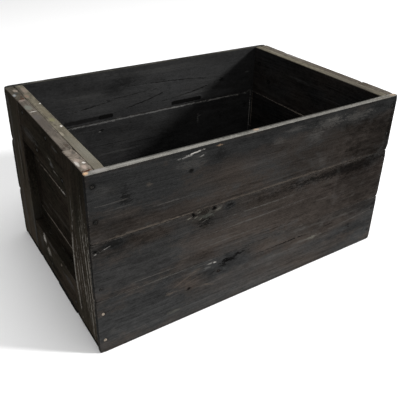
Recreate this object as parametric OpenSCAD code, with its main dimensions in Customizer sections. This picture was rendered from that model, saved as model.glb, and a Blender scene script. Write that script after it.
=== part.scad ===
// Nailed wooden crate, open at the top, with recessed framed ends.
// The long sides lap over the ends, and the ends stand on the floor boards.
// The origin is in the middle of the underside: +X along the length,
// -Y towards the front side, +Z up. All sizes are in millimetres.

/* [Crate] */
// Length over the ends of the long side boards
crate_l = 570; // [420:1:800]
// Width over the faces of the two long sides
crate_w = 368; // [300:1:480]
// Height from the underside to the rim
crate_h = 300; // [270:1:400]

/* [Side boards] */
// Thickness of the boards of the long sides
side_t = 9; // [7:0.5:14]
// Height of the joint between the front's bottom and middle boards
front_seam_low = 98; // [90:1:115]
// Height of the joint between the front's middle and top boards
front_seam_high = 194.5; // [190:0.5:210]
// Height of the joint between the back's bottom and middle boards
back_seam_low = 99.5; // [90:0.5:115]
// Height of the joint between the back's middle and top boards
back_seam_high = 201; // [190:0.5:210]
// How far each front board stops short at its left end, lowest board first
front_left_short = [0.4, 0, 0.6]; // [0:0.1:3]
// How far each front board stops short at its right end, lowest board first
front_right_short = [1.2, 1, 0]; // [0:0.1:3]
// How far each back board stops short at both ends, lowest board first
back_short = [0.4, 0, 1]; // [0:0.1:3]

/* [End panels] */
// Thickness of the boards of the end panels
panel_t = 14; // [10:0.5:20]
// Height of the joint between a panel's bottom and middle boards
panel_seam_low = 101; // [90:1:115]
// Height of the joint between a panel's middle and top boards
panel_seam_high = 200; // [190:1:210]
// How far the thicker middle boards of the panels stand proud inside
ledge = 1; // [0:0.1:2]

/* [End frames] */
// Thickness of the stiles
stile_t = 15.5; // [12:0.5:20]
// Width of the stiles
stile_w = 70; // [60:1:95]
// How far a warped stile lifts off the panel at its free edge
stile_lift = 1.5; // [0.2:0.1:2.5]
// Width of the strip where a warped stile still lies flat on the panel
stile_flat = 20; // [10:1:35]
// Thickness of the rails
rail_t = 14.5; // [10:0.5:20]
// Height of the top rail
top_rail_h = 70; // [50:1:85]
// Height of the bottom rail
bottom_rail_h = 62; // [50:1:75]

/* [Floor] */
// Thickness of the floor boards
floor_t = 9; // [7:0.5:14]
// Gap between two floor boards
floor_gap = 1.6; // [0.5:0.1:4]
// How far each floor board stops short of the crate's ends, front board first
floor_short = [2.4, 1.2, 2, 1.6]; // [0:0.1:4]

/* [Board finish] */
// Chamfer along the eased edges of every board
ease = 1.2; // [0.4:0.1:2]
// Gap between boards that are laid one above the other
seam_gap = 0.3; // [0.1:0.1:1]
// How far the worn corners at the board ends are knocked off
corner_wear = 2.4; // [0.5:0.1:4]
// Depth of the chip out of the front top board's lower right corner
chip_deep = 3; // [1:0.5:6]
// Height of that chip above the joint
chip_high = 10; // [4:1:20]

/* [Nails] */
// Diameter of a nail's head
head_d = 5; // [4:0.1:7]
// Thickness of a nail's head
head_t = 1; // [0.6:0.1:1.6]
// Diameter of a nail's shank
shank_d = 2.6; // [2:0.1:3.4]
// Depth to which the heads are driven below the wood
head_sink = 0.3; // [0:0.1:0.8]
// Length of the nails of the long sides
side_nail_l = 38; // [25:1:45]
// Length of the nails that hold the panels to the stiles
panel_nail_l = 27; // [22:1:28]
// Length of the nails of the rails
rail_nail_l = 25; // [20:1:26]
// Length of the nails of the floor
floor_nail_l = 32; // [20:1:35]
// Distance of the side nails from the crate's ends
side_nail_inset = 9.5; // [8:0.5:12]
// Distance of a side nail from the lower edge of its board, lowest board first
side_nail_low = [23, 20, 34]; // [15:1:40]
// Distance of a side nail from the upper edge of its board, lowest board first
side_nail_high = [25, 13, 19]; // [10:1:30]
// Distance of the panel nails from the upper and lower edge of their board
panel_nail_edge = 34; // [30:1:40]
// Distance of the panel nails from the middle line of the stile
panel_nail_off = 17; // [8:1:22]
// Distance of the inner rail nails from the middle of the rail
rail_nail_mid = 27; // [15:1:35]
// Distance of the outer rail nails from the ends of the rail
rail_nail_end = 20; // [10:1:30]
// Distance of the rail nails from the rail's upper and lower edge
rail_nail_edge = 14; // [8:1:20]
// Distance of the floor nails from the edges of their board
floor_nail_edge = 21; // [12:1:30]

/* [Hidden] */
$fn = 24;

stain = "#33312f";
frame_stain = "#3a342e";
panel_stain = "#2f2a27";
floor_stain = "#2b2725";
steel = "#5a5753";

half_l = crate_l / 2;
half_w = crate_w / 2;
inner_half_w = half_w - side_t;
inner_w = 2 * inner_half_w;

// Board heights are [lower edge, upper edge], from the lowest board up
front_rows = rows(0, front_seam_low, front_seam_high);
back_rows = rows(0, back_seam_low, back_seam_high);
panel_rows = rows(floor_t, panel_seam_low, panel_seam_high);
board_ledge = [0, ledge, 0];

// Distances from the crate's end, going inwards
panel_out = stile_t + stile_lift;
panel_in = panel_out + panel_t;
panel_mid = panel_out + panel_t / 2;
rail_l = inner_w - 2 * stile_w;
stile_mid = inner_half_w - stile_w / 2;
stile_h = crate_h - floor_t;
top_rail_z = crate_h - top_rail_h;

floor_count = len(floor_short);
floor_w = (inner_w - (floor_count - 1) * floor_gap) / floor_count;
floor_pitch = floor_w + floor_gap;
nail_point = 2 * shank_d;
// Straight steps along the bend of a warped stile
warp_steps = 5;
// Room that a cut takes beyond the surface that it opens
reach = 5;

function rows(base, low, high) = [
    [base, low - seam_gap / 2], [low + seam_gap / 2, high - seam_gap / 2],
    [high + seam_gap / 2, crate_h]
];
function row_h(row) = row[1] - row[0];
function nail_heights(row, low, high) = [row[0] + low, row[1] - high];
// The ends of the side boards are worn at the joints, and sound at rim and base
function low_wear(i) = i == 0 ? ease : corner_wear;
function high_wear(i) = i == 2 ? ease : corner_wear;

// Outline of a rectangle from the origin, with its lower and its upper corners
// cut off by different amounts
module clipped_rect(w, h, low_cut, high_cut) {
    polygon([[low_cut, 0], [w - low_cut, 0], [w, low_cut], [w, h - high_cut],
             [w - high_cut, h], [high_cut, h], [0, h - high_cut], [0, low_cut]]);
}

// Board along X with its length centred, its face in XZ and its thickness
// towards +Y. Its long edges are eased, and the corners of its ends are cut
module plank(from_x, to_x, h, t, low_cut = ease, high_cut = ease) {
    intersection() {
        translate([from_x, 0, 0]) rotate([90, 0, 90])
            linear_extrude(to_x - from_x) clipped_rect(t, h, ease, ease);
        translate([from_x, t, 0]) rotate([90, 0, 0])
            linear_extrude(t) clipped_rect(to_x - from_x, h, low_cut, high_cut);
    }
}

// Nail driven along +Z, its head's top at the origin
module nail(length) {
    head_r = head_d / 2;
    shank_r = shank_d / 2;
    rotate_extrude()
        polygon([[0, 0], [head_r, 0], [head_r, head_t], [shank_r, head_t],
                 [shank_r, length - nail_point], [0, length]]);
}

// The same nail with the pocket above its head, for cutting
module nail_hole(length) {
    nail(length);
    translate([0, 0, -reach]) cylinder(d = head_d, h = reach + head_t / 2);
}

// Draws a nail, or the hole that it leaves
module fastener(length, hole) {
    if (hole) nail_hole(length); else nail(length);
}

// Nails of one long side, driven in from its outer face
module side_nails(board_rows, hole = false) {
    for (i = [0 : 2], z = nail_heights(board_rows[i], side_nail_low[i], side_nail_high[i]),
         side = [-1, 1])
        translate([side * (half_l - side_nail_inset), -half_w + head_sink, z])
            rotate([-90, 0, 0]) fastener(side_nail_l, hole);
}

module front_nail_set(hole = false) side_nails(front_rows, hole);

module back_nail_set(hole = false) rotate([0, 0, 180]) side_nails(back_rows, hole);

// What belongs to the left end is drawn at -X, and mirrored for the right end
module at_end(side) {
    if (side > 0) mirror([1, 0, 0]) children(); else children();
}

// Nails from inside through the panel boards into both stiles
module panel_nail_set(hole = false) {
    for (i = [0 : 2], y_side = [-1, 1], step = [0, 1]) {
        z = nail_heights(panel_rows[i], panel_nail_edge, panel_nail_edge)[step];
        y = stile_mid + (2 * step - 1) * panel_nail_off;
        translate([-half_l + panel_in + board_ledge[i] - head_sink, y_side * y, z])
            rotate([0, -90, 0]) fastener(panel_nail_l, hole);
    }
}

// Nails from outside through both rails into the panel, set in a zigzag
module rail_nail_set(hole = false) {
    rail_x = -half_l + panel_out - rail_t + head_sink;
    zigzag = [[-rail_l / 2 + rail_nail_end, 0], [-rail_nail_mid, 1],
              [rail_nail_mid, 0], [rail_l / 2 - rail_nail_end, 1]];
    for (row = [[floor_t, floor_t + bottom_rail_h], [top_rail_z, crate_h]], spot = zigzag)
        translate([rail_x, spot[0], nail_heights(row, rail_nail_edge, rail_nail_edge)[spot[1]]])
            rotate([0, 90, 0]) fastener(rail_nail_l, hole);
}

// Nails from below through the floor boards into the panel
module floor_nail_set(hole = false) {
    for (i = [0 : floor_count - 1], y = [floor_nail_edge, floor_w - floor_nail_edge])
        translate([-half_l + panel_mid, -inner_half_w + i * floor_pitch + y, head_sink])
            fastener(floor_nail_l, hole);
}

// Long sides
module front_board(i) {
    row = front_rows[i];
    color(stain) difference() {
        translate([0, -half_w, row[0]])
            plank(-half_l + front_left_short[i], half_l - front_right_short[i],
                  row_h(row), side_t, low_wear(i), high_wear(i));
        front_nail_set(hole = true);
    }
}

// Wedge that has broken off the end of the front top board, along the grain
module corner_chip() {
    translate([half_l, -half_w - reach, front_rows[2][0]]) rotate([-90, 0, 0])
        linear_extrude(side_t + 2 * reach)
            polygon([[reach, reach], [-chip_deep, reach], [-chip_deep, -chip_high / 2],
                     [0, -chip_high], [reach, -chip_high]]);
}

module back_board(i) {
    row = back_rows[i];
    color(stain) difference() {
        translate([0, inner_half_w, row[0]])
            plank(-half_l + back_short[i], half_l - back_short[i],
                  row_h(row), side_t, low_wear(i), high_wear(i));
        back_nail_set(hole = true);
    }
}

module front_board_bottom() front_board(0);
module front_board_middle() front_board(1);
module front_board_top() color(stain) difference() { front_board(2); corner_chip(); }
module back_board_bottom() back_board(0);
module back_board_middle() back_board(1);
module back_board_top() back_board(2);

// Ends
module panel_board(side, i) {
    row = panel_rows[i];
    color(panel_stain) at_end(side) difference() {
        translate([-half_l + panel_out, inner_half_w, row[0]]) rotate([0, 0, -90])
            plank(0, inner_w, row_h(row), panel_t + board_ledge[i]);
        panel_nail_set(hole = true);
        rail_nail_set(hole = true);
        floor_nail_set(hole = true);
    }
}

module left_panel_bottom() panel_board(-1, 0);
module left_panel_middle() panel_board(-1, 1);
module left_panel_top() panel_board(-1, 2);
module right_panel_bottom() panel_board(1, 0);
module right_panel_middle() panel_board(1, 1);
module right_panel_top() panel_board(1, 2);

// How far a warped stile stands off the panel at a distance from its flat edge
function warp(u) = u < stile_flat ? 0 : stile_lift * pow((u - stile_flat) / (stile_w - stile_flat), 2);

// Section of a warped stile: its flat edge at the origin, its width along X and
// its outer face towards +Y. Its inner face bends away from the panel
module stile_section() {
    bend = [for (k = [0 : warp_steps])
            stile_flat + (stile_w - ease - stile_flat) * k / warp_steps];
    inner = [for (u = bend) [u, warp(u)]];
    outer = [for (k = [0 : warp_steps]) inner[warp_steps - k] + [0, stile_t]];
    polygon(concat([[0, ease], [ease, 0]], inner,
                   [[stile_w, stile_lift + ease], [stile_w, stile_lift + stile_t - ease]],
                   outer, [[ease, stile_t], [0, stile_t - ease]]));
}

// Upright of the left end's frame. The front one lies flat next to the side
// board and lifts at its inner edge, and the back one lifts at the side board
module stile(side, at_back) {
    flat_y = at_back ? inner_half_w - stile_w : -inner_half_w;
    color(frame_stain) at_end(side) difference() {
        translate([-half_l + panel_out, flat_y, floor_t])
            linear_extrude(stile_h) rotate(90) stile_section();
        front_nail_set(hole = true);
        back_nail_set(hole = true);
        panel_nail_set(hole = true);
    }
}

module left_stile_front() stile(-1, at_back = false);
module left_stile_back() stile(-1, at_back = true);
module right_stile_front() stile(1, at_back = false);
module right_stile_back() stile(1, at_back = true);

// Cross rail between the two stiles, set back from their outer faces
module rail(side, z, h) {
    color(frame_stain) at_end(side) difference() {
        translate([-half_l + panel_out - rail_t, rail_l / 2, z]) rotate([0, 0, -90])
            plank(0, rail_l, h, rail_t);
        rail_nail_set(hole = true);
    }
}

module left_rail_top() rail(-1, top_rail_z, top_rail_h);
module left_rail_bottom() rail(-1, floor_t, bottom_rail_h);
module right_rail_top() rail(1, top_rail_z, top_rail_h);
module right_rail_bottom() rail(1, floor_t, bottom_rail_h);

// Floor board along the length, flat on the ground under both ends
module floor_board(i) {
    color(floor_stain) difference() {
        translate([0, -inner_half_w + i * floor_pitch + floor_w, 0]) rotate([90, 0, 0])
            plank(-half_l + floor_short[i], half_l - floor_short[i], floor_w, floor_t);
        floor_nail_set(hole = true);
        mirror([1, 0, 0]) floor_nail_set(hole = true);
    }
}

module floor_board_1() floor_board(0);
module floor_board_2() floor_board(1);
module floor_board_3() floor_board(2);
module floor_board_4() floor_board(3);

// Nails
module front_nails() color(steel) front_nail_set();
module back_nails() color(steel) back_nail_set();
module left_panel_nails() color(steel) panel_nail_set();
module right_panel_nails() color(steel) at_end(1) panel_nail_set();
module left_rail_nails() color(steel) rail_nail_set();
module right_rail_nails() color(steel) at_end(1) rail_nail_set();
module left_floor_nails() color(steel) floor_nail_set();
module right_floor_nails() color(steel) at_end(1) floor_nail_set();

front_board_bottom();
front_board_middle();
front_board_top();
back_board_bottom();
back_board_middle();
back_board_top();
left_panel_bottom();
left_panel_middle();
left_panel_top();
right_panel_bottom();
right_panel_middle();
right_panel_top();
left_stile_front();
left_stile_back();
left_rail_top();
left_rail_bottom();
right_stile_front();
right_stile_back();
right_rail_top();
right_rail_bottom();
floor_board_1();
floor_board_2();
floor_board_3();
floor_board_4();
front_nails();
back_nails();
left_panel_nails();
right_panel_nails();
left_rail_nails();
right_rail_nails();
left_floor_nails();
right_floor_nails();
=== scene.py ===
import math
import random

import bmesh
import bpy
from mathutils import Matrix, Vector, noise


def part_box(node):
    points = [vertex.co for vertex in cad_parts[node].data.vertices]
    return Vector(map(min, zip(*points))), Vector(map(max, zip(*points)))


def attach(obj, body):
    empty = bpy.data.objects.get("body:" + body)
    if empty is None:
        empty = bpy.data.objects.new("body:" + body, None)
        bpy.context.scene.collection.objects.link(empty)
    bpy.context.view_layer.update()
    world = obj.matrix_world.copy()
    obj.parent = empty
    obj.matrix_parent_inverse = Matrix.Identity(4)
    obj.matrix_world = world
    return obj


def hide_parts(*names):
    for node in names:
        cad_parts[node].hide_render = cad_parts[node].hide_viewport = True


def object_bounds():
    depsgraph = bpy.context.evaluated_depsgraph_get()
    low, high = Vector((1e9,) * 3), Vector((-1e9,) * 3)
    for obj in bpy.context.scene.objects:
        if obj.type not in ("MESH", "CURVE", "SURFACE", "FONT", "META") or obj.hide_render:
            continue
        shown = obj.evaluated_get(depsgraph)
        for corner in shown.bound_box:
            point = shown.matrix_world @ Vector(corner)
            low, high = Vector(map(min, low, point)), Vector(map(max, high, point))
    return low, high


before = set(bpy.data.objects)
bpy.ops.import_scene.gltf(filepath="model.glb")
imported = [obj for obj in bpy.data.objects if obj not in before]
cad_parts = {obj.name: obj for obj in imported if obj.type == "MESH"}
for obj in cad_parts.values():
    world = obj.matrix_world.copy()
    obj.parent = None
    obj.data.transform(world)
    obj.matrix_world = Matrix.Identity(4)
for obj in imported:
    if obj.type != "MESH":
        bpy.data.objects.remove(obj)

cad_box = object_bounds()

# End panels: three softwood boards laid one above the other across each end, stained nearly
# black. The middle ones are a little thicker and stand proud inside. They are nailed to the
# stiles from inside, and show in the recess of each end and from inside the crate.

MM = 0.001
X, Y, Z = 0, 1, 2
crate_corner = Vector(cad_box[0])
crate_height = (cad_box[1][Z] - cad_box[0][Z]) / MM

# Grid of a board's faces, in millimetres: cells along the grain and across it, and the lines
# beside an edge
along_cell = 4.0
across_cell = 2.9
edge_lines = [0.0, 0.3, 0.7, 1.2, 1.9, 2.8, 4.0]

# A nail's head, the dish that the hammer left round it, and the dirt in it
head_radius = 2.5
dish_radius = 5.0
dish_depth = 0.85
dirt_radius = 6.5

# Wear of a board's edges: the sizes of its patches, the least rounding, the most as a share of
# the thickness, and where the corners' extra rounding starts and ends
patch_size = 41.0
fine_size = 6.5
least_round = 0.4
most_round = 0.44
corner_start = 1.0
corner_end = 11.0

# Hollows worn into the faces: broad ones, ones along the grain and ones in the sawn ends, with
# the sizes of their waves
broad_hollow = 0.16
broad_wave = 70.0
grain_hollow = 0.13
grain_wave = 5.5
grain_stretch = 14.0
end_hollow = 0.30
end_wave = 1.7

# How far an edge along the grain wanders inwards, in long waves and in short ones
long_wander = 0.16
short_wander = 0.08
wander_pace = 0.009
short_pace = 6

# Heights at which the painted floor bounce ends and is strongest, and between which the dirt round nails
# goes from faint to strong
bounce_end = 290.0
bounce_foot = 10.0
faint_dirt = 190.0
strong_dirt = 220.0

# Stain, dark and worn. The black also serves as painted shade in the left end's recess, and the white as
# painted light that leaks in at the right back corner
brown_char = (0.0187, 0.0157, 0.0137)
blue_char = (0.0153, 0.0154, 0.0153)
olive_char = (0.0190, 0.0172, 0.0130)
umber_char = (0.0220, 0.0172, 0.0132)
worn_grey = (0.080, 0.074, 0.066)
rim_olive = (0.116, 0.104, 0.079)
chip_and_leak_white = (0.42, 0.40, 0.37)
pit_and_shade_black = (0.0028, 0.0027, 0.0026)
scuff_grey = (0.052, 0.051, 0.049)


def grid_lines(length, cell):
    """Distances along one side of a board at which its grid has lines"""
    inner = length - 2 * edge_lines[-1]
    steps = max(1, round(inner / cell))
    middle = [edge_lines[-1] + inner * k / steps for k in range(1, steps)]
    return edge_lines + middle + [length - d for d in reversed(edge_lines)]


def sawn_blank(low, high, grain):
    """Square-edged board between two corners, as a grid of faces"""
    board = bmesh.new()
    bmesh.ops.create_cube(board, size=1.0)
    lines = []
    for axis in (X, Y, Z):
        cell = along_cell if axis == grain else across_cell
        lines.append(grid_lines((high[axis] - low[axis]) / MM, cell))
        whole = [e for e in board.edges if abs(e.verts[0].co[axis] - e.verts[1].co[axis]) > 0.9]
        bmesh.ops.subdivide_edges(board, edges=whole, cuts=len(lines[axis]) - 2, use_grid_fill=True)
    for vert in board.verts:
        for axis in (X, Y, Z):
            step = round((vert.co[axis] + 0.5) * (len(lines[axis]) - 1))
            vert.co[axis] = low[axis] + lines[axis][step] * MM
    return board


def finer_round(board, places, thick, reach):
    """Splits the faces round some places of a board's broad faces, for dishes and pits"""
    near = set()
    for face in board.faces:
        if abs(face.normal[thick]) < 0.9:
            continue
        centre = face.calc_center_median()
        if any((centre - place).length < reach * MM for place in places):
            near.update(face.edges)
    if near:
        bmesh.ops.subdivide_edges(board, edges=list(near), cuts=2, use_grid_fill=True)


def fade(distance, start, end):
    """1 up to the start, 0 from the end, smooth between"""
    share = min(1.0, max(0.0, (end - distance) / (end - start)))
    return share * share * (3 - 2 * share)


def swell(place):
    """Slow noise between 0 and 1"""
    return 0.5 + 0.5 * noise.noise(place)


def board_mesh(name, grain, thick, seed, ease=0.75, ends=1.3, heads=(), pits=(), cut_back=None,
               bend=None, box=None):
    """Weathered board in the place of its node, its wear kept in an attribute.

    ease is the rounding of its edges in millimetres and ends what is added at its corners.
    heads are nail heads that lie in a dish, pits are (place, radius, depth) of holes in
    knots, cut_back and bend move each point at the end, for a broken corner or a warp. box
    is where a board lies before its warp, which is the node's own box for a flat one."""
    low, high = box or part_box(name)
    across = 3 - grain - thick
    board = sawn_blank(low, high, grain)
    board.normal_update()
    for places in (heads, [pit[0] for pit in pits]):
        finer_round(board, places, thick, dish_radius + 2)
    shift = Vector((seed * 37.3, seed * 17.9, seed * 5.3))
    worn_layer = board.verts.layers.float_color.new("wear")
    middle = (low + high) / 2
    half = (high - low) / 2
    for vert in board.verts:
        point = vert.co.copy()
        place = point / MM + shift
        gaps = [(half[axis] - abs(point[axis] - middle[axis])) / MM for axis in (X, Y, Z)]
        patch = noise.noise(place / patch_size)
        fine = noise.noise(place / fine_size)
        corner = fade(math.hypot(gaps[grain], gaps[across]), corner_start, corner_end)
        radius = ease * (1 + 0.40 * patch + 0.20 * fine) + ends * corner
        radius = max(least_round, min(radius, most_round * (high[thick] - low[thick]) / MM))
        inner = Vector([max(low[axis] + radius * MM, min(high[axis] - radius * MM, point[axis]))
                        for axis in (X, Y, Z)])
        out = point - inner
        sharp = (out.length / (radius * MM) - 1) / (math.sqrt(2) - 1)
        out.normalize()
        long_place = place.copy()
        long_place[grain] /= grain_stretch
        relief = broad_hollow * swell(place / broad_wave) + grain_hollow * swell(long_place / grain_wave)
        relief += end_hollow * abs(out[grain]) * swell(place / end_wave)
        edge = sorted(gaps)[1]
        wander = place[grain] * wander_pace + seed
        side = (point[across] - middle[across]) / half[across]
        pull = (long_wander * swell(Vector((wander, side, seed))) +
                short_wander * swell(Vector((wander * short_pace, side, seed))))
        vert.co = inner + out * (radius - relief) * MM
        vert.co[across] -= side * pull * MM
        rubbed = min(1.0, sharp) * (0.70 + 0.5 * patch + 0.15 * fine)
        rubbed_beside = fade(edge, 0.2, 4.0 + 3 * patch) * (0.45 + 0.35 * fine)
        worn = max(rubbed, rubbed_beside)
        soiled = 0.0
        for head in heads:
            away = (point - head).length / MM
            if away < 2 * dish_radius:
                soiled = max(soiled, fade(away, head_radius, dirt_radius))
                vert.co[thick] += math.copysign(dish_depth * fade(away, head_radius, dish_radius) * MM,
                                                middle[thick] - head[thick])
        for place_at, reach, depth in pits:
            away = (point - place_at).length / MM
            if away < 2 * reach:
                soiled = max(soiled, fade(away, reach * 0.8, 2 * reach))
                vert.co[thick] += math.copysign(depth * fade(away, 0.3 * reach, reach) * MM,
                                                middle[thick] - place_at[thick])
        if cut_back:
            worn = max(worn, cut_back(vert.co, place))
        if bend:
            bend(vert.co)
        vert[worn_layer] = (max(0.0, min(1.0, worn)), soiled, 1.0 - abs(out[thick]), 1.0)
    for face in board.faces:
        face.smooth = True
    bmesh.ops.recalc_face_normals(board, faces=board.faces)
    mesh = bpy.data.meshes.new(name)
    board.to_mesh(mesh)
    board.free()
    piece = bpy.data.objects.new("weathered_" + name, mesh)
    bpy.context.scene.collection.objects.link(piece)
    return piece


def driven_nails(node, axis, outwards, lengths=False):
    """Head centres of a node's nails, whose heads look along the axis, outwards +1 or -1,
    each with the nail's length in millimetres when lengths are asked for"""
    found = bmesh.new()
    found.from_mesh(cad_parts[node].data)
    bmesh.ops.remove_doubles(found, verts=found.verts, dist=0.02 * MM)
    found.verts.ensure_lookup_table()
    left = set(found.verts)
    heads = []
    while left:
        group = {left.pop()}
        grow = list(group)
        while grow:
            for edge in grow.pop().link_edges:
                for vert in edge.verts:
                    if vert in left:
                        left.remove(vert)
                        group.add(vert)
                        grow.append(vert)
        top = max(vert.co[axis] * outwards for vert in group)
        ring = [vert.co for vert in group if vert.co[axis] * outwards > top - 0.01 * MM]
        tip = min(vert.co[axis] * outwards for vert in group)
        heads.append((sum(ring, Vector()) / len(ring), (top - tip) / MM))
    found.free()
    heads.sort(key=lambda nail: tuple(round(c, 4) for c in nail[0]))
    return heads if lengths else [head for head, length in heads]


def heads_on(name, heads, thick):
    """The nail heads that lie in one of a board's broad faces"""
    low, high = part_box(name)
    sink = 1.0 * MM
    across = [axis for axis in (X, Y, Z) if axis != thick]
    return [head for head in heads
            if all(low[a] < head[a] < high[a] for a in across)
            and min(abs(head[thick] - low[thick]), abs(head[thick] - high[thick])) < sink]


def stained_wood(node, grain, thick, seed, pith, tilt=0.02, spacing=4.6, light=1.0, brown=0.5,
                 knots=(), marks=(), rods=(), tints=(), shades=(), bare=None, bare_spots=(),
                 streaks=0.7, mottled=1.0, floor_bounce=0.0, edges=0.5, stain=(brown_char, blue_char)):
    """Finish of one board: growth rings cut by the board, fibres, stain patches and wear.

    Places are millimetres from the crate's left, front and lower corner. pith is how far
    the heart of the tree lay from the board's middle, across and through it. knots are
    (along, across, radius), marks are (along, across, half length, half width, colour,
    amount), with the slope and the curve of their axis at the end where they have them.
    rods, tints and shades are (along, across, half length, half width, amount): rods are
    dark with round ends, a tint is bluer and a shade is lighter above zero. bare is the
    colour of a rim that has lost its stain, and bare_spots on it are (x, y, half length,
    half width, colour, amount). stain is the pair of colours that the tints go between.
    streaks and mottled say how strong the grain and the stain's patches are, the floor bounce how
    much lighter the foot of the crate is painted, as painted light from the pale floor, and edges how
    light the narrow faces are."""
    across = 3 - grain - thick
    low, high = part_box(node)
    middle = ((low + high) / 2 - crate_corner) / MM
    finish = bpy.data.materials.new("stain_" + node)
    finish.use_nodes = True
    tree = finish.node_tree
    shader = tree.nodes["Principled BSDF"]

    def put(kind, *inputs, **settings):
        made = tree.nodes.new("ShaderNode" + kind)
        for setting, value in settings.items():
            setattr(made, setting, value)
        for socket, value in zip(made.inputs, inputs):
            if isinstance(value, bpy.types.NodeSocket):
                tree.links.new(value, socket)
            elif value is not None:
                socket.default_value = value
        return made

    def calc(operation, *inputs):
        return put("Math", *inputs, operation=operation).outputs[0]

    def vector(operation, *inputs):
        made = put("VectorMath", *inputs, operation=operation)
        return made.outputs["Value"] if operation in ("LENGTH", "DISTANCE") else made.outputs["Vector"]

    def times(under, amount):
        made = put("VectorMath", under, operation="SCALE")
        tree.links.new(amount, made.inputs["Scale"])
        return made.outputs["Vector"]

    def spread(value, start, end, to_start=0.0, to_end=1.0, kind="LINEAR"):
        return put("MapRange", value, start, end, to_start, to_end, interpolation_type=kind).outputs[0]

    def cloud(at, detail=2.0, roughness=0.5):
        return put("TexNoise", at, None, 1.0, detail, roughness, normalize=True)

    def mixed(amount, under, over):
        made = put("Mix", data_type="RGBA")
        for socket, value in ((made.inputs[0], amount), (made.inputs[6], under), (made.inputs[7], over)):
            if isinstance(value, bpy.types.NodeSocket):
                tree.links.new(value, socket)
            else:
                socket.default_value = (*value, 1.0)
        return made.outputs[2]

    def from_middle(at, spot):
        """Where a place lies in a spot, with the spot's edge 1 from its middle"""
        along, side, half_long, half_wide = spot[:4]
        return vector("MULTIPLY_ADD", at, (1 / half_long, 1 / half_wide, 0),
                      (-along / half_long, -side / half_wide, 0))

    from_corner = vector("SUBTRACT", put("TexCoord").outputs["Object"], crate_corner)
    scaled = put("VectorMath", from_corner, operation="SCALE")
    scaled.inputs["Scale"].default_value = 1 / MM
    parts = put("SeparateXYZ", scaled.outputs["Vector"]).outputs
    place = put("CombineXYZ", parts[grain], parts[across], parts[thick]).outputs[0]
    start = Vector((seed * 13.7, seed * 7.1, seed * 3.3))

    def stretched(long, wide, at=place):
        return vector("MULTIPLY_ADD", at, (1 / long, 1 / wide, 1 / wide), start)

    # Growth rings: how far a point lies from the tree's heart, pushed aside round each knot
    bends = vector("SUBTRACT", cloud(stretched(330, 120)).outputs["Color"], (0.5, 0.5, 0.5))
    ripples = vector("SUBTRACT", cloud(stretched(60, 16)).outputs["Color"], (0.5, 0.5, 0.5))
    near = vector("MULTIPLY_ADD", ripples, (0, 2.2, 2.2), place)
    bent = vector("MULTIPLY_ADD", bends, (0, 14, 14), near)
    bent_parts = put("SeparateXYZ", bent).outputs
    depth = calc("MULTIPLY_ADD", bent_parts[0], tilt, bent_parts[2])
    section = put("CombineXYZ", bent_parts[1], depth, 0.0).outputs[0]
    heart = (middle[across] + pith[0], middle[thick] + pith[1] + tilt * middle[grain], 0.0)
    rings = vector("DISTANCE", section, heart)
    cores = []
    for knot_along, knot_across, radius in knots:
        wide = from_middle(near, (knot_along, knot_across, radius, radius))
        flow = vector("LENGTH", vector("MULTIPLY", wide, (0.20, 0.42, 0)))
        rings = calc("MULTIPLY_ADD", spread(flow, 1.0, 0.0, kind="SMOOTHSTEP"), radius * 1.7, rings)
        cores.append((vector("LENGTH", vector("MULTIPLY", wide, (0.75, 1.0, 0))), radius))
    phase = calc("DIVIDE", rings, spacing)
    share = calc("FRACT", phase)
    darkening = spread(share, 0.30, 0.90, kind="SMOOTHSTEP")
    ring_end = spread(share, 1.0, 0.90, kind="SMOOTHSTEP")
    ring_number = calc("ADD", calc("FLOOR", phase), seed)
    each = put("TexWhiteNoise", None, ring_number, noise_dimensions="1D").outputs[0]
    late = calc("MULTIPLY", calc("MULTIPLY", darkening, ring_end), each)

    # Fibres that follow the rings, then the patches of the stain, from large ones to specks
    ring_side = calc("MULTIPLY_ADD", rings, 0.6, parts[across])
    ring_wise = put("CombineXYZ", parts[grain], ring_side, parts[thick]).outputs[0]
    fine = spread(cloud(stretched(34, 0.8, ring_wise), 3.0, 0.6).outputs[0], 0.30, 0.70)
    thread = spread(cloud(stretched(80, 2.0, ring_wise), 3.0, 0.65).outputs[0], 0.30, 0.70)
    broad = spread(cloud(stretched(150, 7.0, ring_wise), 3.0, 0.6).outputs[0], 0.30, 0.70)
    blotch = spread(cloud(stretched(75, 32), 4.0, 0.6).outputs[0], 0.30, 0.70)
    mottle = spread(cloud(stretched(15, 8), 4.0, 0.65).outputs[0], 0.30, 0.70)
    tint = spread(cloud(stretched(110, 60), 3.0, 0.55).outputs["Color"], 0.34, 0.66, -0.1, 1.1)
    speck = cloud(stretched(1.6, 1.1), 2.0, 0.6).outputs[0]
    grit = spread(cloud(stretched(4.0, 2.4), 3.0, 0.7).outputs[0], 0.35, 0.65)
    torn = calc("MULTIPLY_ADD", cloud(stretched(9, 3), 3.0, 0.7).outputs[0], 3.0, -1.5)
    ragged = calc("MULTIPLY_ADD", grit, 0.8, calc("ADD", torn, -0.25))
    cloudy = calc("MULTIPLY_ADD", mottle, 0.8, calc("MULTIPLY_ADD", blotch, 0.6, -0.7))

    def patch(spot, rough, start=1.25, end=0.45, amount=1.0, slope=0.0, curve=0.0, rod=False):
        """Share of a patch's amount, 1 in its middle and 0 outside, with an uneven edge"""
        half_long, half_wide = spot[2:4]
        inside = from_middle(near, spot)
        if slope or curve or rod:
            long, wide = put("SeparateXYZ", inside).outputs[:2]
            ratio = half_long / half_wide
            rise = calc("MULTIPLY_ADD", long, -curve * half_long * ratio, -slope * ratio)
            wide = calc("MULTIPLY_ADD", long, rise, wide)
            if rod:
                past_end = calc("MULTIPLY_ADD", calc("ABSOLUTE", long), ratio, 1 - ratio)
                long = calc("MAXIMUM", past_end, 0.0)
            inside = put("CombineXYZ", long, wide, 0.0).outputs[0]
        gap = calc("ADD", vector("LENGTH", inside), rough)
        return spread(gap, start, end, 0.0, amount, "SMOOTHSTEP")

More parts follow.
